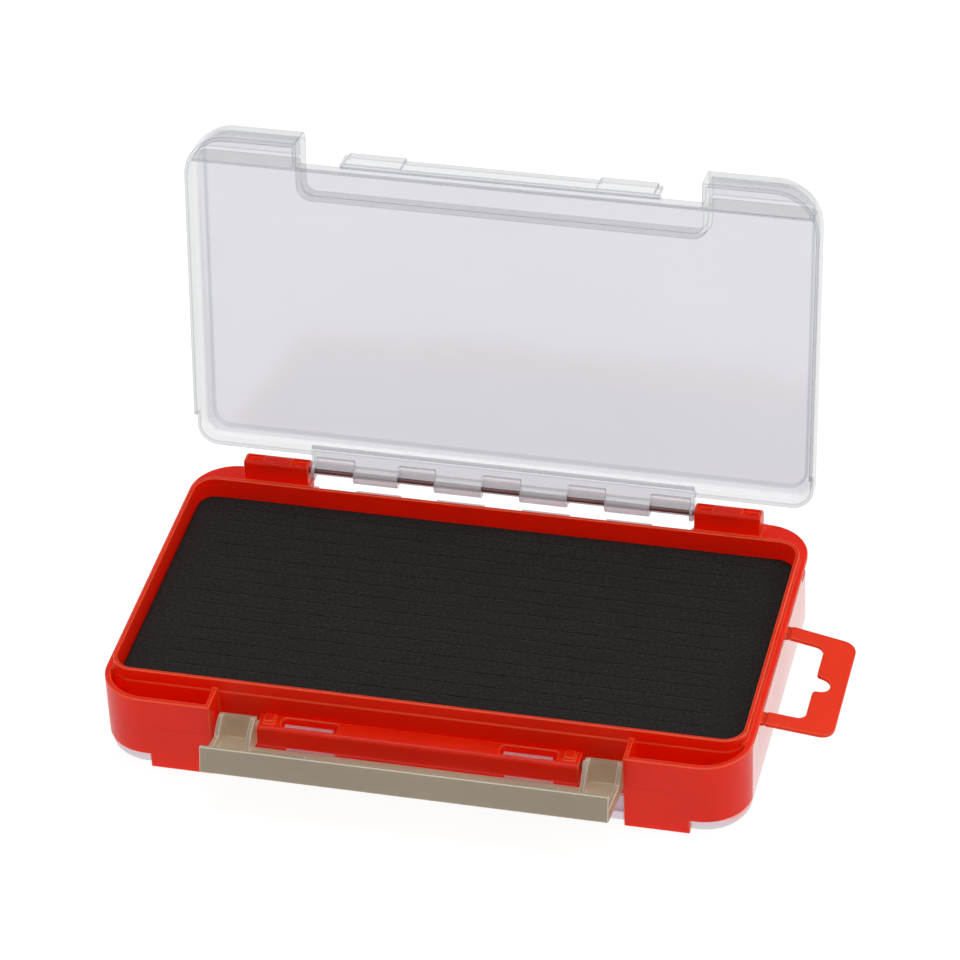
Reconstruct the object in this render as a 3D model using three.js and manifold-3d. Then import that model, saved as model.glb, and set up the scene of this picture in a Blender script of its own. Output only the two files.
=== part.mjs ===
// Double-sided lure case: a moulded frame with a shallow foam tray on top and a
// deep compartment below, a clear lid on each side, one swing latch at the
// front, steel hinge rods at the back and a folding hang tab on the right.
// Millimetres, +Z up. Origin: centre of the base, on the plane it stands on.
// The upper lid and the latch are drawn closed and then swung open.
import * as THREE from 'three';
import * as BufferGeometryUtils from 'three/addons/utils/BufferGeometryUtils.js';
import Module from 'manifold-3d';

// ---- driving dimensions -------------------------------------------------
const HALF_L = 87.5;          // half length of the case
const Y_FRONT = -52.5;        // front wall
const Y_BACK = 52.5;          // rear edge of the hinge ledge
const R_CASE = 12.8;          // plan corner radius of the case
const Z_LEDGE = 22.7;         // top of the ledge round the tray
const LEDGE_T = 1.6;          // ledge thickness
const Z_MID = Z_LEDGE - LEDGE_T / 2;
const Z_RIM = 25.5;           // top of the tray lip
const Z_FLOOR = 15.0;         // top of the tray floor
const FLOOR_T = 1.4;
const TRAY = { x: 85.95, y0: -43.9, y1: 42.8, r: 6.5 };   // outside of the tray wall
const TRAY_T = 1.1;
const LOWER = { x: 84.2, y0: -44.1, y1: 41.2, r: 6.0 };   // outside of the lower wall
const LOWER_T = 1.2;
const Z_LOWER_WALL = 3.5;
const SKIRT_T = 1.6;          // front corner walls
const Z_SKIRT = 4.3;
const SKIRT_END_Y = -39.9;
const FOOT_IN = 55.6, FOOT_OUT = 73.1;
const Z_WEB = 12.6, WEB_T = 1.4;   // floor of the corner pockets
const HINGE_Y = 49.4;
const HINGE_Z = 26.1;         // upper hinge axis; the lower one mirrors it
const HINGE_Z_LOW = 2 * Z_MID - HINGE_Z;
const LUG = { x0: 54.8, x1: 73.3, y0: 46.5, r: 2.85, edge: 0.9 };
const LUG_CORES = [[55.4, 59.7], [68.0, 72.6]];
const ROD_R = 0.65, ROD_HALF = 72.0;
const BARREL_R = 2.4, BARREL_HALF = 54.3, BARREL_BORE = 0.95;
const BARREL_RIB_Y = 41.5;    // the upper barrel runs on inside the lid as a flat rib
const BARREL_WINDOWS = [[-53.2, -42.1], [-29.4, -18.9], [-5.4, 5.4], [18.9, 29.4], [42.1, 53.2]];
// upper lid, closed
const LID = { x: 87.2, y0: -52.5, y1: 44.4, z0: 23.0, z1: 33.3, rf: 12.8, rb: 6.0, edge: 3.2, t: 0.95, tEnd: 1.3, top: 1.3 };
const RIM_BACK_Y = 34.0, RIM_BACK_Z = 25.9;   // the rim steps up here to clear the tray lip
const NOTCH = { x: 55.5, y: -35.5, r: 3.0, slope: 0.173, wall: 1.2, z: 27.0, floor: 1.2 };
const CROSS = { y0: -45.1, y1: -44.25 };      // wall across the lid in front of the tray lip
const KEEPER = { half: 43.8, y0: -47.2, y1: -45.9, z0: 24.0, z1: 30.3, tall0: 26.8, tall1: 42.5, tallZ: 31.1, tallY: -47.6 };
const LID_OPEN = 97.7;        // degrees from closed
// lower lid
const BASE = { x: 87.2, y0: -51.7, y1: 44.4, z1: 20.8, rf: 12.5, rb: 6.0, edge: 2.5, t: 0.95, wall: 1.2, floor: 1.3 };
const BASE_FRONT_Z = 8.6;     // low front rim, below the open latch
const BASE_INSET = 1.9;       // set back inside the front corner walls
const TONGUE = { x0: 23.0, x1: 36.2, y0: -49.3, y1: -48.1, z: 16.7 };
// latch, closed
const LATCH = { half: 54.7, z0: 18.4, z1: 33.3, y1: -44.8, plate: 1.4, flange: 1.2, r: 0.7, foot: 0.5 };
const BLOCK = { x0: 44.5, z0: 13.5, wall: 1.3 };
// rear edges of the two walls of each end block, from the bottom up
const WALL_OUT = [[-44.6, 13.5], [-44.5, 15.7], [-46.8, 18.6], [-48.8, 19.6], [-49.0, 27.0]];
const WALL_IN = [[-44.6, 13.5], [-44.5, 15.7], [-46.5, 19.1], [-49.6, 21.2], [-51.1, 21.8]];
const HOOK = { x0: 26.3, x1: 41.2, y0: -46.9, z0: 31.35 };
const LATCH_Y = -47.15, LATCH_Z = 14.14, LATCH_OPEN = 78;
const PIN_R = 0.7, BOSS_R = 1.6;
const BAR = { half: 43.4, y0: -51.3, y1: -45.1, z0: 11.0, z1: 17.0, r: 1.2 };
const WINDOW = { x0: 21.9, x1: 37.3, y0: -49.6, y1: -45.9, r: 1.2 };
const TAB = { fold: 89.35, end: 106.95, y: -10.7, half: 20.5, taper: 0.8, arm: 4.8, slot: 98.6, tip: 102.8, t: 1.2, droop: 9 };
const FOAM_TOP_Z = 20.1;

// ---- solids ----------------------------------------------------------------
const wasm = await Module();
wasm.setup();

function solid(geometry) {
  const g = geometry.clone();
  g.deleteAttribute('normal');
  g.deleteAttribute('uv');
  const m = BufferGeometryUtils.mergeVertices(g, 1e-4);
  const index = m.index ? m.index.array : Uint32Array.from({ length: m.attributes.position.count }, (_, i) => i);
  return new wasm.Manifold(new wasm.Mesh({
    numProp: 3,
    vertProperties: new Float32Array(m.attributes.position.array),
    triVerts: new Uint32Array(index),
  }));
}

function box(x0, x1, y0, y1, z0, z1) {
  const g = new THREE.BoxGeometry(x1 - x0, y1 - y0, z1 - z0);
  g.translate((x0 + x1) / 2, (y0 + y1) / 2, (z0 + z1) / 2);
  return solid(g);
}

// the same box on both sides of the centre plane
function pair(x0, x1, y0, y1, z0, z1) {
  return box(x0, x1, y0, y1, z0, z1).add(box(-x1, -x0, y0, y1, z0, z1));
}

// plan rectangle with its own corner radius at the front and at the back
function rect(x0, x1, y0, y1, rf, rb = rf) {
  const s = new THREE.Shape();
  s.moveTo(x0 + rf, y0);
  s.lineTo(x1 - rf, y0);
  s.absarc(x1 - rf, y0 + rf, rf, -Math.PI / 2, 0, false);
  s.lineTo(x1, y1 - rb);
  s.absarc(x1 - rb, y1 - rb, rb, 0, Math.PI / 2, false);
  s.lineTo(x0 + rb, y1);
  s.absarc(x0 + rb, y1 - rb, rb, Math.PI / 2, Math.PI, false);
  s.lineTo(x0, y0 + rf);
  s.absarc(x0 + rf, y0 + rf, rf, Math.PI, Math.PI * 1.5, false);
  return s;
}

function prism(shape, z0, z1, curveSegments = 8, shear = 0, shearZ = 0) {
  const g = new THREE.ExtrudeGeometry(shape, { depth: z1 - z0, bevelEnabled: false, curveSegments });
  g.translate(0, 0, z0);
  if (shear) {
    const p = g.attributes.position;
    for (let i = 0; i < p.count; i++) p.setY(i, p.getY(i) + shear * (p.getZ(i) - shearZ));
  }
  return solid(g);
}

function slab(x0, x1, y0, y1, r, z0, z1) {
  return prism(rect(x0, x1, y0, y1, r), z0, z1);
}

// rounded block: top and bottom edges rounded by e
function pillow(x0, x1, y0, y1, rf, rb, e, z0, z1) {
  const g = new THREE.ExtrudeGeometry(rect(x0 + e, x1 - e, y0 + e, y1 - e, rf - e, rb - e), {
    depth: z1 - z0 - 2 * e, bevelEnabled: true, bevelThickness: e, bevelSize: e,
    bevelSegments: 4, curveSegments: 7,
  });
  g.translate(0, 0, z0 + e);
  return solid(g);
}

// profile drawn in (y, z) and run along X
function prismX(shape, x0, x1, curveSegments = 6) {
  const g = new THREE.ExtrudeGeometry(shape, { depth: x1 - x0, bevelEnabled: false, curveSegments });
  g.translate(0, 0, x0);
  g.applyMatrix4(new THREE.Matrix4().makeBasis(
    new THREE.Vector3(0, 1, 0), new THREE.Vector3(0, 0, 1), new THREE.Vector3(1, 0, 0)));
  return solid(g);
}

function rodX(r, x0, x1, y, z, sides = 16) {
  const g = new THREE.CylinderGeometry(r, r, x1 - x0, sides);
  g.rotateZ(Math.PI / 2);
  g.translate((x0 + x1) / 2, y, z);
  return solid(g);
}

function rodY(r, y0, y1, x, z, sides = 12) {
  const g = new THREE.CylinderGeometry(r, r, y1 - y0, sides);
  g.translate(x, (y0 + y1) / 2, z);
  return solid(g);
}

const flip = (body) => body.mirror([0, 0, 1]).translate([0, 0, 2 * Z_MID]);
const mirrorX = (body) => body.add(body.mirror([1, 0, 0]));

// ---- frame -------------------------------------------------------------------
const caseOutline = (i) => [-HALF_L + i, HALF_L - i, Y_FRONT + i, Y_BACK - i, R_CASE - i];
const trayOutline = (i) => [-TRAY.x + i, TRAY.x - i, TRAY.y0 + i, TRAY.y1 - i, TRAY.r - i];
const lowerOutline = (i) => [-LOWER.x + i, LOWER.x - i, LOWER.y0 + i, LOWER.y1 - i, LOWER.r - i];

function lugProfile() {
  const s = new THREE.Shape();
  s.moveTo(LUG.y0, Z_MID);
  s.lineTo(HINGE_Y + LUG.r, Z_MID);
  s.lineTo(HINGE_Y + LUG.r, HINGE_Z);
  s.absarc(HINGE_Y, HINGE_Z, LUG.r, 0, Math.PI / 2, false);
  s.lineTo(LUG.y0 + LUG.edge, HINGE_Z + LUG.r);
  s.absarc(LUG.y0 + LUG.edge, HINGE_Z + LUG.r - LUG.edge, LUG.edge, Math.PI / 2, Math.PI, false);
  s.lineTo(LUG.y0, Z_MID);
  return s;
}

function barProfile() {
  const s = new THREE.Shape();
  s.moveTo(BAR.y0, BAR.z0);
  s.lineTo(BAR.y1, BAR.z0);
  s.lineTo(BAR.y1, BAR.z1);
  s.lineTo(BAR.y0 + BAR.r, BAR.z1);
  s.absarc(BAR.y0 + BAR.r, BAR.z1 - BAR.r, BAR.r, Math.PI / 2, Math.PI, false);
  s.lineTo(BAR.y0, BAR.z0);
  return s;
}

function makeFrame() {
  // tray wall, tray floor and the wall of the lower compartment
  let f = slab(...trayOutline(0), Z_FLOOR - FLOOR_T, Z_RIM)
    .subtract(slab(...trayOutline(TRAY_T), Z_FLOOR, Z_RIM + 1));
  f = f.add(slab(...lowerOutline(0), Z_LOWER_WALL, Z_FLOOR - 0.4)
    .subtract(slab(...lowerOutline(LOWER_T), Z_LOWER_WALL - 1, Z_FLOOR - FLOOR_T)));
  // the front of the tray wall is thicker below the lip
  f = f.add(slab(...trayOutline(-0.2), Z_FLOOR - FLOOR_T, 21.8).subtract(slab(...trayOutline(0.3), 0, 40))
    .intersect(box(-100, 100, -60, SKIRT_END_Y - 0.3, 0, 40)));
  // ledge round the sides and behind, open between the hinge lugs
  const ledge = slab(...caseOutline(0), Z_LEDGE - LEDGE_T, Z_LEDGE)
    .subtract(slab(...trayOutline(0.3), 0, 40))
    .subtract(box(-100, 100, -60, SKIRT_END_Y - 0.1, 0, 40))
    .subtract(box(-LUG.x0 + 0.3, LUG.x0 - 0.3, TRAY.y1 - 0.05, 60, 0, 40));
  f = f.add(ledge);
  // front corner walls with the two feet, and the web and ribs behind them
  const ring = slab(...caseOutline(0), 0, Z_LEDGE).subtract(slab(...caseOutline(SKIRT_T), -1, 40));
  const skirts = ring
    .intersect(pair(FOOT_IN, 90, -60, SKIRT_END_Y, 0, 40))
    .subtract(pair(FOOT_OUT, 95, -60, -30, -1, Z_SKIRT));
  f = f.add(skirts);
  const web = slab(...caseOutline(0.5), Z_WEB, Z_WEB + WEB_T)
    .intersect(pair(FOOT_IN, 90, -60, SKIRT_END_Y, 0, 40))
    .subtract(slab(...trayOutline(0.4), 0, 40));
  f = f.add(web);
  f = f.add(pair(FOOT_IN, FOOT_IN + 1.3, Y_FRONT + 0.3, -43.6, Z_WEB, Z_LEDGE));
  f = f.add(pair(84.5, 86.6, SKIRT_END_Y - 1.0, SKIRT_END_Y, Z_WEB, Z_LEDGE));
  // latch bar with its two windows and the small bosses beside them
  let bar = prismX(barProfile(), -BAR.half, BAR.half)
    .add(box(-BAR.half, BAR.half, BAR.y1 - 0.3, -43.6, 12.4, 14.4))
    .subtract(mirrorX(slab(WINDOW.x0, WINDOW.x1, WINDOW.y0, WINDOW.y1, WINDOW.r, 0, 30)))
    .add(pair(39.2, 42.0, -48.9, -45.6, BAR.z1 - 0.3, BAR.z1 + 0.8))
    .subtract(mirrorX(rodX(PIN_R + 0.3, 39.0, 46.0, LATCH_Y, LATCH_Z, 14)));
  f = f.add(bar);
  // hinge lugs above and below the ledge, cored on top, bored for the rods
  let lug = prismX(lugProfile(), LUG.x0, LUG.x1, 7);
  for (const [a, b] of LUG_CORES) lug = lug.subtract(box(a, b, 47.4, 50.9, HINGE_Z + 1.35, HINGE_Z + 5));
  lug = mirrorX(lug.subtract(rodX(ROD_R + 0.3, LUG.x0 - 1, ROD_HALF + 0.4, HINGE_Y, HINGE_Z, 14)));
  f = f.add(lug).add(flip(lug));
  // roots of the hang tab
  const tz = Z_MID - TAB.t / 2;
  for (const s of [1, -1]) {
    const a = TAB.y + s * TAB.half, b = TAB.y + s * (TAB.half - TAB.arm);
    f = f.add(box(HALF_L - 0.6, TAB.fold - TAB.t / 2 - 0.3, Math.min(a, b), Math.max(a, b), tz, tz + TAB.t));
  }
  return f;
}

// ---- hinge barrel of a lid, drawn at the upper axis ---------------------------
function makeBarrel(wallY) {
  let b = rodX(BARREL_R, -BARREL_HALF, BARREL_HALF, HINGE_Y, HINGE_Z, 20)
    .add(box(-BARREL_HALF, BARREL_HALF, wallY - 0.6, HINGE_Y, HINGE_Z - 0.2, HINGE_Z + BARREL_R));
  for (const [a, c] of BARREL_WINDOWS) b = b.subtract(box(a, c, wallY + 0.9, HINGE_Y + 4, HINGE_Z - 6, HINGE_Z + 1.25));
  return b.subtract(rodX(BARREL_BORE, -60, 60, HINGE_Y, HINGE_Z, 16));
}

// ---- upper lid, closed -------------------------------------------------------
const notch = (i) => prism(rect(-NOTCH.x - i, NOTCH.x + i, -80, NOTCH.y + i, NOTCH.r + i), 10, 40, 4, NOTCH.slope, 25.8);

function makeUpperLid() {
  const outer = pillow(-LID.x, LID.x, LID.y0, LID.y1, LID.rf, LID.rb, LID.edge, 10, LID.z1)
    .intersect(box(-100, 100, -60, 60, LID.z0, 40));
  const inner = pillow(-LID.x + LID.t, LID.x - LID.t, LID.y0 + LID.tEnd, LID.y1 - LID.tEnd,
    LID.rf - 1.1, LID.rb - 1.1, LID.edge - 1.0, 0, LID.z1 - LID.top);
  let lid = outer.subtract(inner).subtract(notch(NOTCH.wall / 2));
  // walls and floor of the notch that the latch closes into
  lid = lid.add(notch(NOTCH.wall).subtract(notch(0)).intersect(outer)
    .subtract(box(-100, 100, CROSS.y1, 60, 10, NOTCH.z - NOTCH.floor)));
  lid = lid.add(notch(0.6).intersect(box(-100, 100, CROSS.y0, 0, NOTCH.z - NOTCH.floor, NOTCH.z)));
  // cross wall in front of the tray lip
  lid = lid.add(box(-100, 100, CROSS.y0, CROSS.y1, LID.z0, LID.z1 - 0.6).intersect(outer)
    .subtract(notch(0).intersect(box(-100, 100, -60, 0, NOTCH.z, 40))));
  // upstanding lip that the latch hooks over
  lid = lid.add(box(-KEEPER.half, KEEPER.half, KEEPER.y0, KEEPER.y1, KEEPER.z0, KEEPER.z1))
    .add(pair(KEEPER.tall0, KEEPER.tall1, KEEPER.tallY, KEEPER.y1, KEEPER.z0, KEEPER.tallZ))
    .add(box(-KEEPER.half, KEEPER.half, KEEPER.y1 - 0.4, CROSS.y0 + 0.3, NOTCH.z - NOTCH.floor, NOTCH.z));
  // the rear of the rim stops above the tray lip, so that it clears it as it turns
  lid = lid.subtract(box(-100, 100, RIM_BACK_Y, 60, 10, RIM_BACK_Z));
  return lid.add(makeBarrel(LID.y1))
    .add(box(-BARREL_HALF, BARREL_HALF, BARREL_RIB_Y, LID.y1 - 0.3, HINGE_Z - 0.2, HINGE_Z + 0.9));
}

// ---- lower lid ---------------------------------------------------------------
function makeLowerLid() {
  let lid = pillow(-BASE.x, BASE.x, BASE.y0, BASE.y1, BASE.rf, BASE.rb, BASE.edge, 0, 40)
    .intersect(box(-100, 100, -60, 60, 0, BASE.z1));
  // low front, set back inside the corner walls and behind the feet
  const zone = SKIRT_END_Y + 0.4;
  const back = Y_FRONT + BASE_INSET;
  lid = lid.subtract(box(-100, 100, -60, zone, BASE_FRONT_Z, 40));
  lid = lid.subtract(box(-100, 100, -60, zone, Z_SKIRT - 0.3, 40)
    .subtract(slab(...caseOutline(BASE_INSET), -1, 41)));
  lid = lid.subtract(pair(FOOT_IN - 0.3, FOOT_OUT + 0.3, -60, back, -1, 41));
  const { t, wall, floor, edge } = BASE;
  const hollow = pillow(-BASE.x + t, BASE.x - t, zone + wall, BASE.y1 - 1.3, edge, 5.0, edge - 1.2, floor, 60)
    .add(pillow(-HALF_L + BASE_INSET + wall, HALF_L - BASE_INSET - wall, back + wall, 0, R_CASE - BASE_INSET - wall, 6, edge - 1.2, floor, 60))
    .add(box(-BASE.x + t, BASE.x - t, zone - 0.5, zone + wall + 8, BASE_FRONT_Z, 60));
  lid = lid.subtract(hollow);
  lid = lid.subtract(box(-100, 100, RIM_BACK_Y, 60, 2 * Z_MID - RIM_BACK_Z, 60));
  // two snap tongues that stand up into the windows of the latch bar
  lid = lid.add(pair(TONGUE.x0, TONGUE.x1, TONGUE.y0, TONGUE.y1, BASE_FRONT_Z - 3, TONGUE.z))
    .add(pair(TONGUE.x0, TONGUE.x1, back + wall - 0.3, TONGUE.y1, BASE_FRONT_Z - 3, BASE_FRONT_Z));
  return lid.add(flip(makeBarrel(BASE.y1)));
}

// ---- latch, closed -----------------------------------------------------------
function latchProfile(z0, rear) {
  const y0 = Y_FRONT, y1 = LATCH.y1, z1 = LATCH.z1, r = LATCH.r;
  const s = new THREE.Shape();
  s.moveTo(y0, z0 + LATCH.foot);
  s.lineTo(y0 + LATCH.foot, z0);
  for (const [y, z] of rear) s.lineTo(y, z);
  s.lineTo(rear[rear.length - 1][0], z1 - LATCH.flange);
  s.lineTo(y1, z1 - LATCH.flange);
  s.lineTo(y1, z1);
  s.lineTo(y0 + r, z1);
  s.absarc(y0 + r, z1 - r, r, Math.PI / 2, Math.PI, false);
  s.lineTo(y0, z0 + LATCH.foot);
  return s;
}

function makeLatch() {
  const h = LATCH.half, y0 = Y_FRONT, plateY = y0 + LATCH.plate;
  const { x0, z0, wall } = BLOCK;
  const foot = new THREE.Shape();
  foot.moveTo(y0, z0 + LATCH.foot);
  foot.lineTo(y0 + LATCH.foot, z0);
  foot.lineTo(WALL_OUT[0][0], z0);
  foot.lineTo(WALL_OUT[0][0] + 0.06, z0 + wall);
  foot.lineTo(plateY, z0 + wall);
  foot.lineTo(plateY, LATCH.z0 + 2);
  foot.lineTo(y0, LATCH.z0 + 2);
  foot.lineTo(y0, z0 + LATCH.foot);
  const end = prismX(foot, x0, h)
    .add(prismX(latchProfile(z0, WALL_OUT), h - wall, h))
    .add(prismX(latchProfile(z0, WALL_IN), x0, x0 + wall))
    .add(rodX(BOSS_R, x0 - 0.8, x0 + wall, LATCH_Y, LATCH_Z, 18))
    .subtract(rodX(PIN_R + 0.3, 43, x0 + 0.9, LATCH_Y, LATCH_Z, 14));
  return prismX(latchProfile(LATCH.z0, [[plateY, LATCH.z0]]), -h, h)
    .add(mirrorX(end))
    .add(pair(HOOK.x0, HOOK.x1, HOOK.y0, LATCH.y1, HOOK.z0, LATCH.z1 - 0.5));
}

// ---- hang tab ----------------------------------------------------------------
function makeTab() {
  const { fold, end, y, half, taper, arm, slot, tip, t } = TAB;
  const r = 4.0, ri = 2.4, b = 4.7, q = 1.3, narrow = half - taper, mouth = half - arm - 0.4;
  const s = new THREE.Shape();
  s.moveTo(fold, y - half);
  s.lineTo(end - r, y - narrow);
  s.absarc(end - r, y - narrow + r, r, -Math.PI / 2, 0, false);
  s.lineTo(end, y + narrow - r);
  s.absarc(end - r, y + narrow - r, r, 0, Math.PI / 2, false);
  s.lineTo(fold, y + half);
  s.lineTo(fold, y + half - arm);
  s.lineTo(slot - ri, y + mouth);
  s.absarc(slot - ri, y + mouth - ri, ri, Math.PI / 2, 0, true);
  s.lineTo(slot, y + b);
  s.quadraticCurveTo(slot, y + b - q, slot + 0.8, y + b - q - 0.2);
  s.quadraticCurveTo(tip, y + 2.9, tip, y);
  s.quadraticCurveTo(tip, y - 2.9, slot + 0.8, y - b + q + 0.2);
  s.quadraticCurveTo(slot, y - b + q, slot, y - b);
  s.lineTo(slot, y - mouth + ri);
  s.absarc(slot - ri, y - mouth + ri, ri, 0, -Math.PI / 2, true);
  s.lineTo(fold, y - half + arm);
  s.lineTo(fold, y - half);
  const z = Z_MID - t / 2;
  return prism(s, z, z + t, 6)
    .add(rodY(t / 2, y + half - arm, y + half, fold, Z_MID))
    .add(rodY(t / 2, y - half, y - half + arm, fold, Z_MID));
}

// ---- foam --------------------------------------------------------------------
const makeFoam = (outline, inset, z0, z1) => prism(rect(...outline(inset)), z0, z1, 6);

// ---- scene graph ---------------------------------------------------------------
const plastic = (color, extra = {}) => new THREE.MeshStandardMaterial({ color, roughness: 0.35, metalness: 0, ...extra });
const mats = {
  frame: plastic(0xd8261a),
  clear: plastic(0xe4e2ea, { transparent: true, opacity: 0.35, roughness: 0.2 }),
  latch: plastic(0xc2b4a0, { roughness: 0.45 }),
  foam: plastic(0x2b2825, { roughness: 0.95 }),
  steel: new THREE.MeshStandardMaterial({ color: 0x9a9694, roughness: 0.3, metalness: 1 }),
};

// weld points closer than 4 microns and drop the triangles that this closes up
function weld(m) {
  const p = m.vertProperties, n = p.length / 3, to = new Uint32Array(n), cell = new Map(), kept = [];
  for (let i = 0; i < n; i++) {
    const q = [0, 1, 2].map((k) => Math.round(p[3 * i + k] / 0.004));
    let hit = -1;
    for (let a = -1; a <= 1 && hit < 0; a++) for (let b = -1; b <= 1 && hit < 0; b++) for (let c = -1; c <= 1 && hit < 0; c++) {
      for (const j of cell.get(`${q[0] + a},${q[1] + b},${q[2] + c}`) || []) {
        if (Math.hypot(p[3 * i] - p[3 * j], p[3 * i + 1] - p[3 * j + 1], p[3 * i + 2] - p[3 * j + 2]) < 0.004) { hit = j; break; }
      }
    }
    if (hit < 0) {
      hit = i;
      const key = q.join(',');
      if (!cell.has(key)) cell.set(key, []);
      cell.get(key).push(i);
      kept.push(i);
    }
    to[i] = hit;
  }
  const slot = new Map(kept.map((i, k) => [i, k]));
  const tri = [];
  for (let t = 0; t < m.triVerts.length; t += 3) {
    const [a, b, c] = [0, 1, 2].map((k) => slot.get(to[m.triVerts[t + k]]));
    if (a !== b && b !== c && c !== a) tri.push(a, b, c);
  }
  return { p: Float32Array.from(kept.flatMap((i) => [p[3 * i], p[3 * i + 1], p[3 * i + 2]])), tri: Uint32Array.from(tri) };
}

function toMesh(name, body, material, origin = [0, 0, 0]) {
  const m = weld(body.getMesh());
  const g = new THREE.BufferGeometry();
  g.setAttribute('position', new THREE.BufferAttribute(m.p, 3));
  g.setIndex(new THREE.BufferAttribute(m.tri, 1));
  g.translate(-origin[0], -origin[1], -origin[2]);
  g.computeVertexNormals();
  const mesh = new THREE.Mesh(g, material);
  mesh.name = name;
  return mesh;
}

const root = new THREE.Group();
root.add(toMesh('tray_frame', makeFrame(), mats.frame));
root.add(toMesh('upper_foam', makeFoam(trayOutline, TRAY_T + 0.35, Z_FLOOR + 0.3, FOAM_TOP_Z), mats.foam));
root.add(toMesh('lower_foam', makeFoam(lowerOutline, LOWER_T + 0.35, 9.6, Z_FLOOR - FLOOR_T - 0.3), mats.foam));
root.add(toMesh('upper_hinge_rod', rodX(ROD_R, -ROD_HALF, ROD_HALF, HINGE_Y, HINGE_Z), mats.steel));
root.add(toMesh('lower_hinge_rod', rodX(ROD_R, -ROD_HALF, ROD_HALF, HINGE_Y, HINGE_Z_LOW), mats.steel));
root.add(toMesh('latch_pin_left', rodX(PIN_R, -45.1, -39.5, LATCH_Y, LATCH_Z, 14), mats.steel));
root.add(toMesh('latch_pin_right', rodX(PIN_R, 39.5, 45.1, LATCH_Y, LATCH_Z, 14), mats.steel));
root.add(toMesh('lower_lid', makeLowerLid(), mats.clear));

// the upper lid stands open on its hinge
const lidGroup = new THREE.Group();
lidGroup.position.set(0, HINGE_Y, HINGE_Z);
lidGroup.rotation.x = -THREE.MathUtils.degToRad(LID_OPEN);
lidGroup.add(toMesh('upper_lid', makeUpperLid(), mats.clear, [0, HINGE_Y, HINGE_Z]));
root.add(lidGroup);

// the latch is swung down to the front
const latchGroup = new THREE.Group();
latchGroup.position.set(0, LATCH_Y, LATCH_Z);
latchGroup.rotation.x = THREE.MathUtils.degToRad(LATCH_OPEN);
latchGroup.add(toMesh('latch', makeLatch(), mats.latch, [0, LATCH_Y, LATCH_Z]));
root.add(latchGroup);

// the hang tab droops a little from its fold
const tabGroup = new THREE.Group();
tabGroup.position.set(TAB.fold, 0, Z_MID);
tabGroup.rotation.y = THREE.MathUtils.degToRad(TAB.droop);
tabGroup.add(toMesh('hang_tab', makeTab(), mats.frame, [TAB.fold, 0, Z_MID]));
root.add(tabGroup);

export default root;
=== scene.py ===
import math
import random

import bmesh
import bpy
from mathutils import Matrix, Vector, noise


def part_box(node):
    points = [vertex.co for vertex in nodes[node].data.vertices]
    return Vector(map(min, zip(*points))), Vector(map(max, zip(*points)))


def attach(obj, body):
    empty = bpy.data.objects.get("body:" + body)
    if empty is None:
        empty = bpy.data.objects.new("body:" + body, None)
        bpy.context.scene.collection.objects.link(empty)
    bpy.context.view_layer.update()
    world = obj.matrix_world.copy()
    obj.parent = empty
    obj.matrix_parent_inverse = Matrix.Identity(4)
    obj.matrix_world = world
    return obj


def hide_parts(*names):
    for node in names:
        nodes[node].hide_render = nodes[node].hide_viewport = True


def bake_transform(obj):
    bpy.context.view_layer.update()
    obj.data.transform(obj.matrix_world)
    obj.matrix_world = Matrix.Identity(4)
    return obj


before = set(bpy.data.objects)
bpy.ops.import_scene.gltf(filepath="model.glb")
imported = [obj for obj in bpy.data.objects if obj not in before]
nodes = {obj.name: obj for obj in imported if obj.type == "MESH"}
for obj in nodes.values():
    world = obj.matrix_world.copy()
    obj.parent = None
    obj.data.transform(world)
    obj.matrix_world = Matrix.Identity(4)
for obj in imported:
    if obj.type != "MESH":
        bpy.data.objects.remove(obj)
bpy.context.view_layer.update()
MM = 0.001


# ---- node helpers -----------------------------------------------------------
def new_material(name):
    mat = bpy.data.materials.new(name)
    mat.use_nodes = True
    mat.node_tree.nodes.clear()
    return mat, mat.node_tree


def node(tree, kind, **inputs):
    n = tree.nodes.new(kind)
    for key, value in inputs.items():
        if key in n.inputs:
            n.inputs[key].default_value = value
    return n


def link(tree, a, b):
    tree.links.new(a, b)


def coords(tree, scale=(1, 1, 1)):
    tc = tree.nodes.new("ShaderNodeTexCoord")
    mp = tree.nodes.new("ShaderNodeMapping")
    mp.inputs["Scale"].default_value = scale
    link(tree, tc.outputs["Object"], mp.inputs["Vector"])
    return mp.outputs["Vector"]


def noise_tex(tree, vec, scale, detail=2.0, rough=0.5):
    n = tree.nodes.new("ShaderNodeTexNoise")
    n.inputs["Scale"].default_value = scale
    n.inputs["Detail"].default_value = detail
    n.inputs["Roughness"].default_value = rough
    link(tree, vec, n.inputs["Vector"])
    return n


def ramp(tree, fac, stops):
    r = tree.nodes.new("ShaderNodeValToRGB")
    e = r.color_ramp.elements
    e[0].position, e[0].color = stops[0][0], (*stops[0][1], 1)
    e[1].position, e[1].color = stops[-1][0], (*stops[-1][1], 1)
    for p, c in stops[1:-1]:
        x = e.new(p)
        x.color = (*c, 1)
    link(tree, fac, r.inputs["Fac"])
    return r.outputs["Color"]


def span(tree, fac, lo, hi, a=0.0, b=1.0):
    m = tree.nodes.new("ShaderNodeMapRange")
    m.inputs["From Min"].default_value = a
    m.inputs["From Max"].default_value = b
    m.inputs["To Min"].default_value = lo
    m.inputs["To Max"].default_value = hi
    link(tree, fac, m.inputs["Value"])
    return m.outputs["Result"]


def bump(tree, height, strength, distance):
    b = tree.nodes.new("ShaderNodeBump")
    b.inputs["Strength"].default_value = strength
    b.inputs["Distance"].default_value = distance
    link(tree, height, b.inputs["Height"])
    return b.outputs["Normal"]


def finish(tree, shader):
    out = tree.nodes.new("ShaderNodeOutputMaterial")
    link(tree, shader, out.inputs["Surface"])


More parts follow.
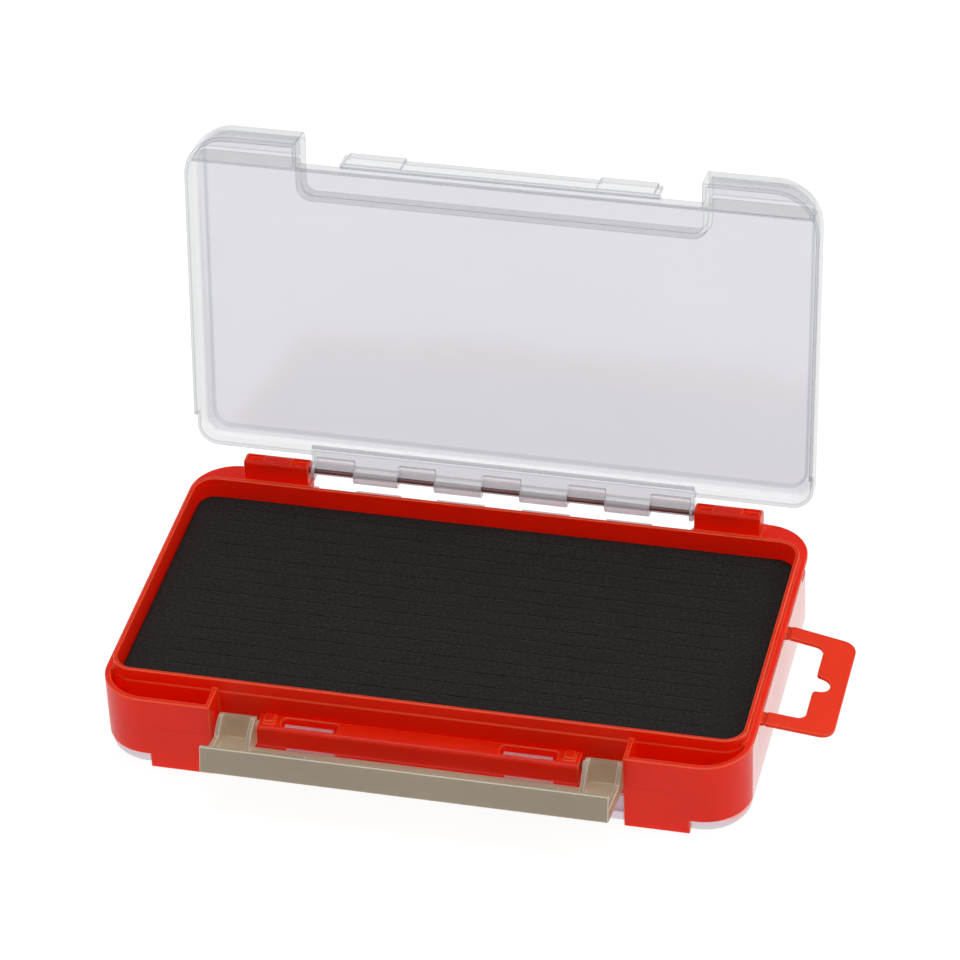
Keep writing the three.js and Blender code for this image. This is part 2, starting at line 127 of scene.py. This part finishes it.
# ---- materials ----------------------------------------------------------------
def moulded(name, dark, mid, light, rough=(0.30, 0.42), grain=0.05, specular=0.5, depth=None, seam_and_painted_light=False, painted_glow=None):
    """Injection-moulded plastic: slow colour drift, fine skin texture, satin gloss."""
    mat, t = new_material(name)
    vec = coords(t)
    drift = noise_tex(t, vec, 55.0, 3.0)
    fine = noise_tex(t, vec, 1400.0, 2.0)
    p = t.nodes.new("ShaderNodeBsdfPrincipled")
    colour = ramp(t, drift.outputs["Fac"], [(0.12, dark), (0.5, mid), (0.88, light)])
    if seam_and_painted_light:
        # the faint parting line is darkened, and the fold crease gets painted shade
        shade = t.nodes.new("ShaderNodeMix")
        shade.data_type, shade.blend_type = "RGBA", "MULTIPLY"
        link(t, seam_and_crease_shade(t, vec), shade.inputs["Factor"])
        link(t, colour, shade.inputs["A"])
        shade.inputs["B"].default_value = (0.60, 0.50, 0.50, 1)
        # painted light: the thin tab is painted a little paler, standing in for the light that shines through it
        thin = t.nodes.new("ShaderNodeMix")
        thin.data_type = "RGBA"
        xyz = t.nodes.new("ShaderNodeSeparateXYZ")
        link(t, vec, xyz.inputs["Vector"])
        link(t, span(t, xyz.outputs["X"], 0.0, 1.0, 87.6 * MM, 88.6 * MM), thin.inputs["Factor"])
        link(t, shade.outputs["Result"], thin.inputs["A"])
        thin.inputs["B"].default_value = (0.63, 0.031, 0.0045, 1)
        colour = thin.outputs["Result"]
    link(t, colour, p.inputs["Base Color"])
    link(t, span(t, drift.outputs["Fac"], rough[0], rough[1], 0.12, 0.88), p.inputs["Roughness"])
    p.inputs["Specular IOR Level"].default_value = specular
    p.inputs["IOR"].default_value = 1.5
    if depth:
        # light soaks a little way into the plastic, furthest for red
        p.subsurface_method = "BURLEY"
        p.inputs["Subsurface Weight"].default_value = depth[0]
        p.inputs["Subsurface Radius"].default_value = depth[1]
        p.inputs["Subsurface Scale"].default_value = depth[2]
    if painted_glow:
        # painted glow: emission that rises in the occluded corners stands in for light that travels through the thin
        # walls and fills them
        shut = t.nodes.new("ShaderNodeAmbientOcclusion")
        shut.samples = 4
        shut.inputs["Distance"].default_value = 18.0 * MM
        p.inputs["Emission Color"].default_value = (*painted_glow[0], 1)
        link(t, span(t, shut.outputs["AO"], painted_glow[1], 0.0, 0.15, 0.95), p.inputs["Emission Strength"])
    link(t, bump(t, fine.outputs["Fac"], grain, 0.0002), p.inputs["Normal"])
    finish(t, p.outputs["BSDF"])
    return mat


def math_node(tree, op, a, b=None):
    """One math node; a and b are sockets or numbers."""
    n = tree.nodes.new("ShaderNodeMath")
    n.operation = op
    for i, v in enumerate((a, b)):
        if v is None:
            continue
        if isinstance(v, (int, float)):
            n.inputs[i].default_value = v
        else:
            link(tree, v, n.inputs[i])
    return n.outputs[0]


def seam_and_crease_shade(tree, vec):
    """Mask of the faint parting line on the two front corner walls and of painted shade along the crease of the tab's
    fold.
    """
    xyz = tree.nodes.new("ShaderNodeSeparateXYZ")
    link(tree, vec, xyz.inputs["Vector"])
    x, y, z = (xyz.outputs[k] for k in "XYZ")
    ax = math_node(tree, "ABSOLUTE", x)
    line = span(tree, math_node(tree, "ABSOLUTE", math_node(tree, "SUBTRACT", z, 13.45 * MM)), 0.7, 0.0, 0.00004, 0.00014)
    reach = math_node(tree, "MULTIPLY", span(tree, ax, 0.0, 1.0, 57.0 * MM, 59.0 * MM), span(tree, ax, 1.0, 0.0, 69.0 * MM, 70.5 * MM))
    front = span(tree, y, 1.0, 0.0, -52.2 * MM, -52.0 * MM)
    parting = math_node(tree, "MULTIPLY", math_node(tree, "MULTIPLY", line, reach), front)
    # painted shade: the fold crease is darkened in the colour
    crease = span(tree, math_node(tree, "ABSOLUTE", math_node(tree, "SUBTRACT", x, 89.0 * MM)), 0.85, 0.0, 0.00008, 0.00028)
    return math_node(tree, "MAXIMUM", parting, crease)


# the orange gets painted glow in its occluded corners
orange = moulded("orange_plastic", (0.635, 0.0125, 0.0010), (0.665, 0.0145, 0.0013), (0.695, 0.0170, 0.0017), rough=(0.26, 0.38), specular=0.20,
                 depth=(0.9, (1.0, 0.10, 0.04), 0.0040), seam_and_painted_light=True, painted_glow=((1.0, 0.004, 0.0), 0.13))
# painted highlight: a paler orange for the rounded bevels, standing in for light caught by the rounded edges
orange_edge_highlight = moulded("orange_edge_highlight", (0.77, 0.060, 0.010), (0.80, 0.072, 0.013), (0.83, 0.084, 0.016), rough=(0.26, 0.36), specular=0.30,
                     depth=(0.6, (1.0, 0.15, 0.06), 0.0020))
# the beige gets painted glow in its occluded corners
beige = moulded("beige_plastic", (0.278, 0.243, 0.184), (0.298, 0.262, 0.200), (0.318, 0.281, 0.216), rough=(0.34, 0.46), grain=0.04, specular=0.40,
                depth=(0.8, (1.0, 0.70, 0.40), 0.0030), painted_glow=((1.0, 0.66, 0.40), 0.15))
# painted highlight: a paler beige for the rounded bevels, standing in for light caught by the rounded edges
beige_edge_highlight = moulded("beige_edge_highlight", (0.57, 0.50, 0.385), (0.60, 0.53, 0.41), (0.63, 0.56, 0.435), rough=(0.30, 0.42), grain=0.04, specular=0.45,
                    depth=(0.4, (1.0, 0.75, 0.45), 0.0012))


def fillet_line(tree, vec, hinge, turn, half, mid_y, radius, inset, low_z):
    """Masks in the closed lid's own space: the thin line where the panel runs into its rounded border, and the walls, which stand square to the panel."""
    a = math.radians(turn)
    hy, hz = hinge[0] * MM, hinge[1] * MM
    closed = tree.nodes.new("ShaderNodeMapping")
    closed.inputs["Rotation"].default_value = (a, 0.0, 0.0)
    closed.inputs["Location"].default_value = (
        0.0, hy - (hy * math.cos(a) - hz * math.sin(a)), hz - (hy * math.sin(a) + hz * math.cos(a)))
    link(tree, vec, closed.inputs["Vector"])
    xyz = tree.nodes.new("ShaderNodeSeparateXYZ")
    link(tree, closed.outputs["Vector"], xyz.inputs["Vector"])
    ax = math_node(tree, "ABSOLUTE", xyz.outputs["X"])
    ay = math_node(tree, "ABSOLUTE", math_node(tree, "SUBTRACT", xyz.outputs["Y"], mid_y * MM))
    qx = math_node(tree, "MAXIMUM", math_node(tree, "SUBTRACT", ax, (half[0] - inset - radius) * MM), 0.0)
    qy = math_node(tree, "MAXIMUM", math_node(tree, "SUBTRACT", ay, (half[1] - inset - radius) * MM), 0.0)
    length = math_node(tree, "SQRT", math_node(tree, "ADD", math_node(tree, "MULTIPLY", qx, qx), math_node(tree, "MULTIPLY", qy, qy)))
    d = math_node(tree, "ABSOLUTE", math_node(tree, "SUBTRACT", length, radius * MM))
    line = span(tree, d, 1.0, 0.0, 0.00015, 0.0006)
    high = span(tree, xyz.outputs["Z"], 0.0, 1.0, low_z * MM, (low_z + 0.2) * MM)
    face = tree.nodes.new("ShaderNodeTexCoord")
    lean = tree.nodes.new("ShaderNodeVectorMath")
    lean.operation = "DOT_PRODUCT"
    lean.inputs[1].default_value = (0.0, math.sin(a), math.cos(a))
    link(tree, face.outputs["Normal"], lean.inputs[0])
    walls = span(tree, math_node(tree, "ABSOLUTE", lean.outputs["Value"]), 1.0, 0.0, 0.35, 0.75)
    return math_node(tree, "MULTIPLY", line, high), walls


def clear_plastic(name, hinge, milk, tint_mid, veil=(0.70, 0.695, 0.715), contour=None, steep=(0.80, 0.55), painted_frame_tint=None):
    """Clear moulding with a lavender cast: darker where it is seen edge-on, cloudier in the thick hinge barrel."""
    mat, t = new_material(name)
    vec = coords(t)
    ripple = noise_tex(t, vec, 40.0, 2.0)
    fine = noise_tex(t, vec, 900.0, 2.0)
    edge = t.nodes.new("ShaderNodeLayerWeight")
    edge.inputs["Blend"].default_value = 0.5
    r, g, b = tint_mid
    grey = (r + g + b) / 3.0
    tint = ramp(t, edge.outputs["Facing"], [
        (0.0, (r, g, b)), (0.35, (r, g, b)), (0.62, (grey * 0.97, grey * 0.975, grey * 0.98)),
        (0.80, (grey * steep[0], grey * (steep[0] + 0.01), grey * (steep[0] + 0.02))),
        (1.0, (grey * steep[1], grey * (steep[1] + 0.01), grey * (steep[1] + 0.03)))])
    if contour:
        # painted shade: the tint is darkened along the fillet line where the panel meets its rounded border
        dim = t.nodes.new("ShaderNodeMix")
        dim.data_type, dim.blend_type = "RGBA", "MULTIPLY"
        line, walls = fillet_line(t, vec, hinge, **contour)
        # the thin walls are clearer than the panel
        clear = t.nodes.new("ShaderNodeMix")
        clear.data_type, clear.blend_type = "RGBA", "MULTIPLY"
        link(t, walls, clear.inputs["Factor"])
        link(t, tint, clear.inputs["A"])
        clear.inputs["B"].default_value = (1.12, 1.125, 1.105, 1)
        link(t, line, dim.inputs["Factor"])
        link(t, clear.outputs["Result"], dim.inputs["A"])
        dim.inputs["B"].default_value = (0.84, 0.86, 0.88, 1)
        tint = dim.outputs["Result"]
    see = t.nodes.new("ShaderNodeBsdfTransparent")
    link(t, tint, see.inputs["Color"])
    shine = t.nodes.new("ShaderNodeBsdfPrincipled")
    light = tuple(min(1.0, v * 1.06) for v in veil)
    base_colour = ramp(t, ripple.outputs["Fac"], [(0.3, veil), (0.7, light)])
    link(t, base_colour, shine.inputs["Base Color"])
    link(t, span(t, ripple.outputs["Fac"], 0.12, 0.22, 0.3, 0.7), shine.inputs["Roughness"])
    shine.inputs["IOR"].default_value = 1.5
    link(t, bump(t, fine.outputs["Fac"], 0.03, 0.0001), shine.inputs["Normal"])
    # distance from the hinge axis, in the part's own space
    sub = t.nodes.new("ShaderNodeVectorMath")
    sub.operation = "SUBTRACT"
    sub.inputs[1].default_value = (0.0, hinge[0] * MM, hinge[1] * MM)
    link(t, vec, sub.inputs[0])
    flat = t.nodes.new("ShaderNodeVectorMath")
    flat.operation = "MULTIPLY"
    flat.inputs[1].default_value = (0.0, 1.0, 1.0)
    link(t, sub.outputs["Vector"], flat.inputs[0])
    far = t.nodes.new("ShaderNodeVectorMath")
    far.operation = "LENGTH"
    link(t, flat.outputs["Vector"], far.inputs[0])
    cloud = span(t, far.outputs["Value"], 0.42, milk, 0.0026, 0.0031)
    if painted_frame_tint:
        # painted light: the wall beside the frame is tinted orange-pink and made cloudier, standing in for the orange
        # frame seen through it and reflected in it
        xyz = t.nodes.new("ShaderNodeSeparateXYZ")
        link(t, vec, xyz.inputs["Vector"])
        side = span(t, math_node(t, "ABSOLUTE", xyz.outputs["X"]), 0.22, 1.0, painted_frame_tint["x0"] * MM, painted_frame_tint["x1"] * MM)
        rise = math_node(t, "MULTIPLY", span(t, xyz.outputs["Z"], 0.0, 1.0, painted_frame_tint["z0"] * MM, painted_frame_tint["z1"] * MM), side)
        warm = t.nodes.new("ShaderNodeMix")
        warm.data_type = "RGBA"
        link(t, rise, warm.inputs["Factor"])
        link(t, base_colour, warm.inputs["A"])
        warm.inputs["B"].default_value = (*painted_frame_tint["veil"], 1)
        link(t, warm.outputs["Result"], shine.inputs["Base Color"])
        cloud = math_node(t, "MAXIMUM", cloud, span(t, rise, milk, painted_frame_tint["milk"]))
    gloss = t.nodes.new("ShaderNodeBsdfGlossy")
    gloss.inputs["Roughness"].default_value = 0.12
    gloss.inputs["Color"].default_value = (0.97, 0.97, 0.98, 1)
    p5 = t.nodes.new("ShaderNodeMath")
    p5.operation = "POWER"
    p5.inputs[1].default_value = 5.0
    link(t, edge.outputs["Facing"], p5.inputs[0])
    fres = span(t, p5.outputs[0], 0.035, 0.30)
    milky = t.nodes.new("ShaderNodeMixShader")
    link(t, cloud, milky.inputs["Fac"])
    link(t, see.outputs["BSDF"], milky.inputs[1])
    link(t, shine.outputs["BSDF"], milky.inputs[2])
    mix = t.nodes.new("ShaderNodeMixShader")
    link(t, fres, mix.inputs["Fac"])
    link(t, milky.outputs["Shader"], mix.inputs[1])
    link(t, gloss.outputs["BSDF"], mix.inputs[2])
    finish(t, mix.outputs["Shader"])
    return mat


clear_top = clear_plastic("clear_plastic_top", (49.4, 26.1), 0.12, (0.868, 0.864, 0.890), steep=(0.92, 0.78),
                          contour=dict(turn=97.7, half=(87.2, 48.45), mid_y=-4.05, radius=5.0, inset=3.1, low_z=31.2))
# painted shade: a darker clear material for the rounded bevels, standing in for the grey the edges take from light bent
# and reflected in them
clear_top_edge_shade = clear_plastic("clear_edge_shade_top", (49.4, 26.1), 0.12, (0.72, 0.735, 0.77), steep=(0.90, 0.78))
clear_base = clear_plastic("clear_plastic_base", (49.4, 17.7), 0.20, (0.880, 0.845, 0.890), (0.80, 0.70, 0.76), steep=(0.93, 0.72),
                           painted_frame_tint=dict(z0=0.9, z1=3.2, x0=80.0, x1=84.0, milk=0.84, veil=(0.90, 0.34, 0.30)))


def wire():
    """Drawn steel wire: fine lengthwise streaks."""
    mat, t = new_material("steel_wire")
    vec = coords(t, (0.06, 1, 1))
    streak = noise_tex(t, vec, 2600.0, 2.0)
    p = t.nodes.new("ShaderNodeBsdfPrincipled")
    p.inputs["Metallic"].default_value = 1.0
    # painted reflection: the wire's colour is a dark reddish brown, standing in for the dark red frame mirrored in it
    link(t, ramp(t, streak.outputs["Fac"], [(0.3, (0.13, 0.075, 0.070)), (0.7, (0.21, 0.125, 0.115))]), p.inputs["Base Color"])
    link(t, span(t, streak.outputs["Fac"], 0.30, 0.42, 0.3, 0.7), p.inputs["Roughness"])
    link(t, bump(t, streak.outputs["Fac"], 0.08, 0.00005), p.inputs["Normal"])
    finish(t, p.outputs["BSDF"])
    return mat


steel = wire()


def foam_skin():
    """Charcoal closed-cell foam: fine cells, slight mottling and a few open pits, shown as dark spots of painted shade.
    """
    mat, t = new_material("charcoal_foam")
    vec = coords(t)
    cell = t.nodes.new("ShaderNodeTexVoronoi")
    cell.inputs["Scale"].default_value = 1500.0
    link(t, vec, cell.inputs["Vector"])
    fine = noise_tex(t, vec, 1100.0, 4.0, 0.65)
    mottle = noise_tex(t, coords(t, (0.5, 1, 1)), 120.0, 3.0)
    pits = t.nodes.new("ShaderNodeTexVoronoi")
    pits.inputs["Scale"].default_value = 62.0
    link(t, vec, pits.inputs["Vector"])
    body = ramp(t, fine.outputs["Fac"], [(0.28, (0.0086, 0.0078, 0.0067)), (0.50, (0.0170, 0.0156, 0.0139)), (0.74, (0.0318, 0.0295, 0.0265))])
    tone = ramp(t, mottle.outputs["Fac"], [(0.3, (0.88, 0.88, 0.88)), (0.7, (1.0, 1.0, 1.0))])
    mul = t.nodes.new("ShaderNodeMix")
    mul.data_type, mul.blend_type = "RGBA", "MULTIPLY"
    mul.inputs["Factor"].default_value = 1.0
    link(t, body, mul.inputs["A"])
    link(t, tone, mul.inputs["B"])
    # painted shade: the open pits are dark spots in the colour, not holes in the surface
    pit_shade = ramp(t, pits.outputs["Distance"], [(0.022, (0.15, 0.15, 0.15)), (0.04, (1.0, 1.0, 1.0))])
    mul2 = t.nodes.new("ShaderNodeMix")
    mul2.data_type, mul2.blend_type = "RGBA", "MULTIPLY"
    mul2.inputs["Factor"].default_value = 1.0
    link(t, mul.outputs["Result"], mul2.inputs["A"])
    link(t, pit_shade, mul2.inputs["B"])
    # the raised lips beside the slits are paler in patches, the cuts are dark
    lip = t.nodes.new("ShaderNodeAttribute")
    lip.attribute_name = "lip"
    grain = noise_tex(t, vec, 500.0, 2.0)
    lip_pale = t.nodes.new("ShaderNodeMath")
    lip_pale.operation = "MULTIPLY"
    link(t, lip.outputs["Fac"], lip_pale.inputs[0])
    link(t, span(t, grain.outputs["Fac"], 0.25, 1.0, 0.35, 0.65), lip_pale.inputs[1])
    pale = t.nodes.new("ShaderNodeMix")
    pale.data_type = "RGBA"
    pale.inputs["B"].default_value = (0.048, 0.0455, 0.042, 1)
    link(t, lip_pale.outputs[0], pale.inputs["Factor"])
    link(t, mul2.outputs["Result"], pale.inputs["A"])
    p = t.nodes.new("ShaderNodeBsdfPrincipled")
    link(t, pale.outputs["Result"], p.inputs["Base Color"])
    p.inputs["Roughness"].default_value = 0.95
    p.inputs["Specular IOR Level"].default_value = 0.2
    p.inputs["Sheen Weight"].default_value = 0.0
    height = t.nodes.new("ShaderNodeMath")
    height.operation = "ADD"
    link(t, cell.outputs["Distance"], height.inputs[0])
    link(t, fine.outputs["Fac"], height.inputs[1])
    link(t, bump(t, height.outputs[0], 0.55, 0.00025), p.inputs["Normal"])
    finish(t, p.outputs["BSDF"])
    return mat


foam = foam_skin()


# ---- CAD nodes: rounded edges and materials ---------------------------------------
def dress(name, mat, width, angle=30.0, segments=2, join=0.1, clamp=False, rim=None):
    """Rounds the edges of a CAD node with modifiers and gives it its material; a rim material, if given, paints a
    highlight or shade on the bevels.
    """
    o = nodes[name]
    me = o.data
    me.materials.clear()
    me.materials.append(mat)
    # rim: a second material for the rounded bevels, painted highlight for orange and beige, painted shade for the clear
    # lid
    if rim:
        me.materials.append(rim)
    if "custom_normal" in me.attributes:
        me.attributes.remove(me.attributes["custom_normal"])
    me.shade_smooth()
    if width:
        w = o.modifiers.new("weld", "WELD")
        w.merge_threshold = join * MM
        d = o.modifiers.new("planar", "DECIMATE")
        d.decimate_type = "DISSOLVE"
        d.angle_limit = math.radians(0.6)
        t = o.modifiers.new("facets", "TRIANGULATE")
        t.quad_method = "BEAUTY"
        t.ngon_method = "BEAUTY"
        b = o.modifiers.new("round", "BEVEL")
        b.width = width * MM
        b.segments = segments
        b.limit_method = "ANGLE"
        b.angle_limit = math.radians(angle)
        b.miter_outer = "MITER_SHARP"
        b.use_clamp_overlap = clamp
        b.harden_normals = True
        b.loop_slide = False
        # the bevels take the rim material: painted edge highlight or shade
        if rim:
            b.material = 1
        n = o.modifiers.new("normals", "WEIGHTED_NORMAL")
        n.keep_sharp = False
        n.weight = 80
    return o


dress("tray_frame", orange, 0.3, rim=orange_edge_highlight)
dress("hang_tab", orange, 0.2, angle=45.0, rim=orange_edge_highlight)
dress("latch", beige, 0.25, join=0.004, rim=beige_edge_highlight)
dress("upper_lid", clear_top, 0.3, rim=clear_top_edge_shade)
dress("lower_lid", clear_base, 0.12)
for rod in ("upper_hinge_rod", "lower_hinge_rod", "latch_pin_left", "latch_pin_right"):
    dress(rod, steel, 0.12, angle=50, join=0.004, clamp=True)


# ---- foam liners with rows of slits ---------------------------------------------
def make_foam(name, cad, rows, top_up, radius, half_slit):
    """A liner in the space of its CAD solid: crowned rim, and fine slits cut along X in rows."""
    lo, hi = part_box(cad)
    x1, y0, y1 = hi[0] / MM, lo[1] / MM, hi[1] / MM
    z_low, z_top = lo[2] / MM, hi[2] / MM
    rng = random.Random(7)
    ys = set()
    y = y0
    for off in (0.0, 0.12, 0.35, 0.8, 1.5):
        ys.add(round(y0 + off, 3))
        ys.add(round(y1 - off, 3))
    for r in rows:
        for off in (-1.0, -0.6, -0.4, -0.22, -0.06, 0.03, 0.12, 0.21, 0.30, 0.7):
            ys.add(round(r + off, 3))
    y = y0 + 2.6
    while y < y1 - 2.0:
        if all(abs(y - r) > 1.5 for r in rows):
            ys.add(round(y, 3))
        y += 1.3
    ys = sorted(ys)
    n_x = 120
    edge_offs = (0.0, 0.12, 0.35, 0.8, 1.5)
    inner = [-(x1 - 3.0) + 2 * (x1 - 3.0) * i / (n_x - 1) for i in range(n_x)]

    def extent(yy):
        d = max(0.0, (y0 + radius) - yy, yy - (y1 - radius))
        d = min(d, radius)
        return x1 - radius + math.sqrt(max(0.0, radius * radius - d * d))

    def inside(xx, yy):
        ax = abs(xx)
        cx, cy = x1 - radius, None
        dy = min(yy - y0, y1 - yy)
        dx = x1 - ax
        if dx < radius and dy < radius:
            return radius - math.hypot(radius - dx, radius - dy)
        return min(dx, dy)

    wob = {r: rng.uniform(0, 50) for r in rows}

    def height(xx, yy):
        rr = 0.9
        d = max(0.0, inside(xx, yy))
        z = z_top
        if d < rr:
            z -= rr - math.sqrt(max(0.0, rr * rr - (rr - d) ** 2))
        z -= 0.10 * (0.5 + 0.5 * noise.noise(Vector((xx * 0.06, yy * 0.06, 3.1))))
        for r in rows:
            if abs(yy - r) < 1.2 and abs(xx) < half_slit:
                fade = min(1.0, (half_slit - abs(xx)) / 1.5)
                n1 = noise.noise(Vector((xx * 0.35, wob[r], 0.0)))
                k = fade * (0.65 + 0.5 * n1)
                off = yy - r
                if abs(off - 0.12) < 0.17:
                    z -= k * 0.60 * (1 - abs(off - 0.12) / 0.17)
                elif abs(off + 0.25) < 0.35:
                    z += k * 0.09 * (1 - abs(off + 0.25) / 0.35)
        return min(z, z_top)

    def pale_lip(xx, yy):
        for r in rows:
            if abs(yy - r) < 1.2 and abs(xx) < half_slit:
                off = yy - r
                n1 = noise.noise(Vector((xx * 0.22, wob[r] + 7.0, 2.0)))
                return max(0.0, 1 - abs(off + 0.2) / 0.3) * min(1.0, max(0.0, 0.55 + 0.9 * n1))
        return 0.0

    bm = bmesh.new()
    lip = bm.verts.layers.float.new("lip")
    grid = []
    for yy in ys:
        ext = extent(yy)
        row_x = [-ext + o for o in edge_offs] + [x * (ext - 1.5) / (x1 - 1.5) for x in inner] + [ext - o for o in reversed(edge_offs)]
        line = []
        for xx in row_x:
            shift = 0.05 * noise.noise(Vector((xx * 0.25, yy * 0.0 + round(yy / 5.25) * 3.7, 9.0)))
            z = height(xx, yy)
            yv = min(max(yy + shift, y0), y1)
            zz = z if top_up else (z_low + z_top - z)
            vert = bm.verts.new((xx * MM, yv * MM, zz * MM))
            vert[lip] = pale_lip(xx, yy)
            line.append(vert)
        grid.append(line)
    for j in range(len(grid) - 1):
        for i in range(len(grid[0]) - 1):
            q = (grid[j][i], grid[j][i + 1], grid[j + 1][i + 1], grid[j + 1][i])
            bm.faces.new(q if top_up else tuple(reversed(q)))
    bmesh.ops.remove_doubles(bm, verts=bm.verts, dist=1e-7)
    loop = [e for e in bm.edges if len(e.link_faces) == 1]
    out = bmesh.ops.extrude_edge_only(bm, edges=loop)
    far = [v for v in out["geom"] if isinstance(v, bmesh.types.BMVert)]
    z_far = z_low if top_up else z_top
    for v in far:
        v.co.z = z_far * MM
    rim = [e for e in out["geom"] if isinstance(e, bmesh.types.BMEdge) and all(v in set(far) for v in e.verts)]
    bmesh.ops.contextual_create(bm, geom=rim)
    bmesh.ops.recalc_face_normals(bm, faces=bm.faces)
    me = bpy.data.meshes.new(name)
    bm.to_mesh(me)
    bm.free()
    me.materials.append(foam)
    me.shade_smooth()
    me.set_sharp_from_angle(angle=math.radians(50))
    o = bpy.data.objects.new(name, me)
    bpy.context.scene.collection.objects.link(o)
    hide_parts(cad)
    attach(o, "frame")
    return o


make_foam("foam_liner_top", "upper_foam", [-32.5 + 5.275 * i for i in range(14)], True, 5.05, 74.3)
make_foam("foam_liner_bottom", "lower_foam", [-31.0 + 5.275 * i for i in range(13)], False, 4.45, 72.5)


# ---- thin fold webs of the hang tab ------------------------------------------------
def fold_web(name, y0, y1):
    """Thin moulded strip that joins a root on the frame to an arm of the hang tab, with a shallow fold groove."""
    z = 21.9
    profile = [(87.9, 0.60), (88.4, 0.58), (88.62, 0.40), (88.82, 0.27), (89.0, 0.24), (89.18, 0.27), (89.38, 0.40), (89.55, 0.55)]
    steps = 14
    bm = bmesh.new()
    rings = []
    for i in range(steps + 1):
        u = i / steps
        y = y0 + 0.05 + (y1 - y0 - 0.1) * u
        edge = min(u, 1 - u) * (y1 - y0)
        k = 1.0 - 0.25 * max(0.0, 1 - edge / 0.35)
        top = [(x, y, z + h * k) for x, h in profile]
        bot = [(x, y, z - h * k) for x, h in reversed(profile)]
        rings.append([bm.verts.new((a * MM, b * MM, c * MM)) for a, b, c in top + bot])
    n = len(rings[0])
    for a, b in zip(rings, rings[1:]):
        for i in range(n):
            j = (i + 1) % n
            bm.faces.new((a[i], b[i], b[j], a[j]))
    bm.faces.new(rings[0])
    bm.faces.new(list(reversed(rings[-1])))
    bmesh.ops.recalc_face_normals(bm, faces=bm.faces)
    me = bpy.data.meshes.new(name)
    bm.to_mesh(me)
    bm.free()
    me.materials.append(orange)
    me.shade_smooth()
    me.set_sharp_from_angle(angle=math.radians(40))
    o = bpy.data.objects.new(name, me)
    bpy.context.scene.collection.objects.link(o)
    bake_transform(o)
    return o


fold_web("fold_web_front", -31.2, -26.4)
fold_web("fold_web_rear", 5.0, 9.8)


# ---- floor, light and camera -------------------------------------------------------
def stage_floor():
    bm = bmesh.new()
    bmesh.ops.create_grid(bm, x_segments=8, y_segments=8, size=4.0)
    me = bpy.data.meshes.new("studio_floor")
    bm.to_mesh(me)
    bm.free()
    o = bpy.data.objects.new("studio_floor", me)
    o.location = (0, 0, -0.0002)
    bpy.context.scene.collection.objects.link(o)
    mat, t = new_material("pale_paper")
    vec = coords(t)
    n = noise_tex(t, vec, 30.0, 2.0)
    p = t.nodes.new("ShaderNodeBsdfPrincipled")
    link(t, ramp(t, n.outputs["Fac"], [(0.3, (0.20, 0.20, 0.20)), (0.7, (0.22, 0.22, 0.22))]), p.inputs["Base Color"])
    p.inputs["Roughness"].default_value = 0.9
    p.inputs["Specular IOR Level"].default_value = 0.1
    p.inputs["Emission Color"].default_value = (1.0, 1.0, 1.0, 1)
    p.inputs["Emission Strength"].default_value = 0.89
    finish(t, p.outputs["BSDF"])
    me.materials.append(mat)


stage_floor()


def softbox(name, loc, target, size, power, size_y=None):
    lamp = bpy.data.lights.new(name, "AREA")
    lamp.shape = "RECTANGLE"
    lamp.size = size
    lamp.size_y = size_y or size
    lamp.energy = power
    o = bpy.data.objects.new(name, lamp)
    o.location = loc
    o.rotation_euler = (Vector(target) - Vector(loc)).to_track_quat("-Z", "Y").to_euler()
    bpy.context.scene.collection.objects.link(o)
    return o


softbox("top_softbox", (0.0, 0.45, 1.75), (0, 0, 0), 1.4, 15.0)
softbox("front_softbox", (-0.1, -1.35, 1.5), (0, 0, 0.02), 1.2, 3.5, 1.0)
softbox("side_softbox", (1.5, 0.1, 1.15), (0, 0, 0.02), 1.0, 7.0, 1.2)

world = bpy.data.worlds.new("studio")
bpy.context.scene.world = world
world.use_nodes = True
world.node_tree.nodes["Background"].inputs["Color"].default_value = (1.0, 1.0, 1.0, 1)
world.node_tree.nodes["Background"].inputs["Strength"].default_value = 0.42

scene = bpy.context.scene
scene.view_settings.view_transform = "Standard"
scene.view_settings.look = "None"
scene.view_settings.exposure = 0.0
scene.view_settings.gamma = 1.0
scene.cycles.max_bounces = 12
scene.cycles.diffuse_bounces = 5
scene.cycles.glossy_bounces = 6
scene.cycles.transparent_max_bounces = 40

az, el, roll = -0.2609627, 0.6422792, -0.0480854
fwd = Vector((math.sin(az) * math.cos(el), math.cos(az) * math.cos(el), -math.sin(el)))
right = Vector((math.cos(az), -math.sin(az), 0))
down = fwd.cross(right)
cx = math.cos(roll) * right - math.sin(roll) * down
cy = -(math.sin(roll) * right + math.cos(roll) * down)
cz = -fwd
cam_data = bpy.data.cameras.new("camera")
cam_data.sensor_fit = "HORIZONTAL"
cam_data.sensor_width = 36.0
cam_data.lens = 4684.28 / 960 * 36.0
cam_data.clip_start = 0.05
cam_data.clip_end = 20.0
cam = bpy.data.objects.new("camera", cam_data)
cam.matrix_world = Matrix((
    (cx.x, cy.x, cz.x, 0.2619),
    (cx.y, cy.y, cz.y, -0.95375),
    (cx.z, cy.z, cz.z, 0.80606),
    (0, 0, 0, 1)))
scene.collection.objects.link(cam)
scene.camera = cam

bpy.context.view_layer.update()
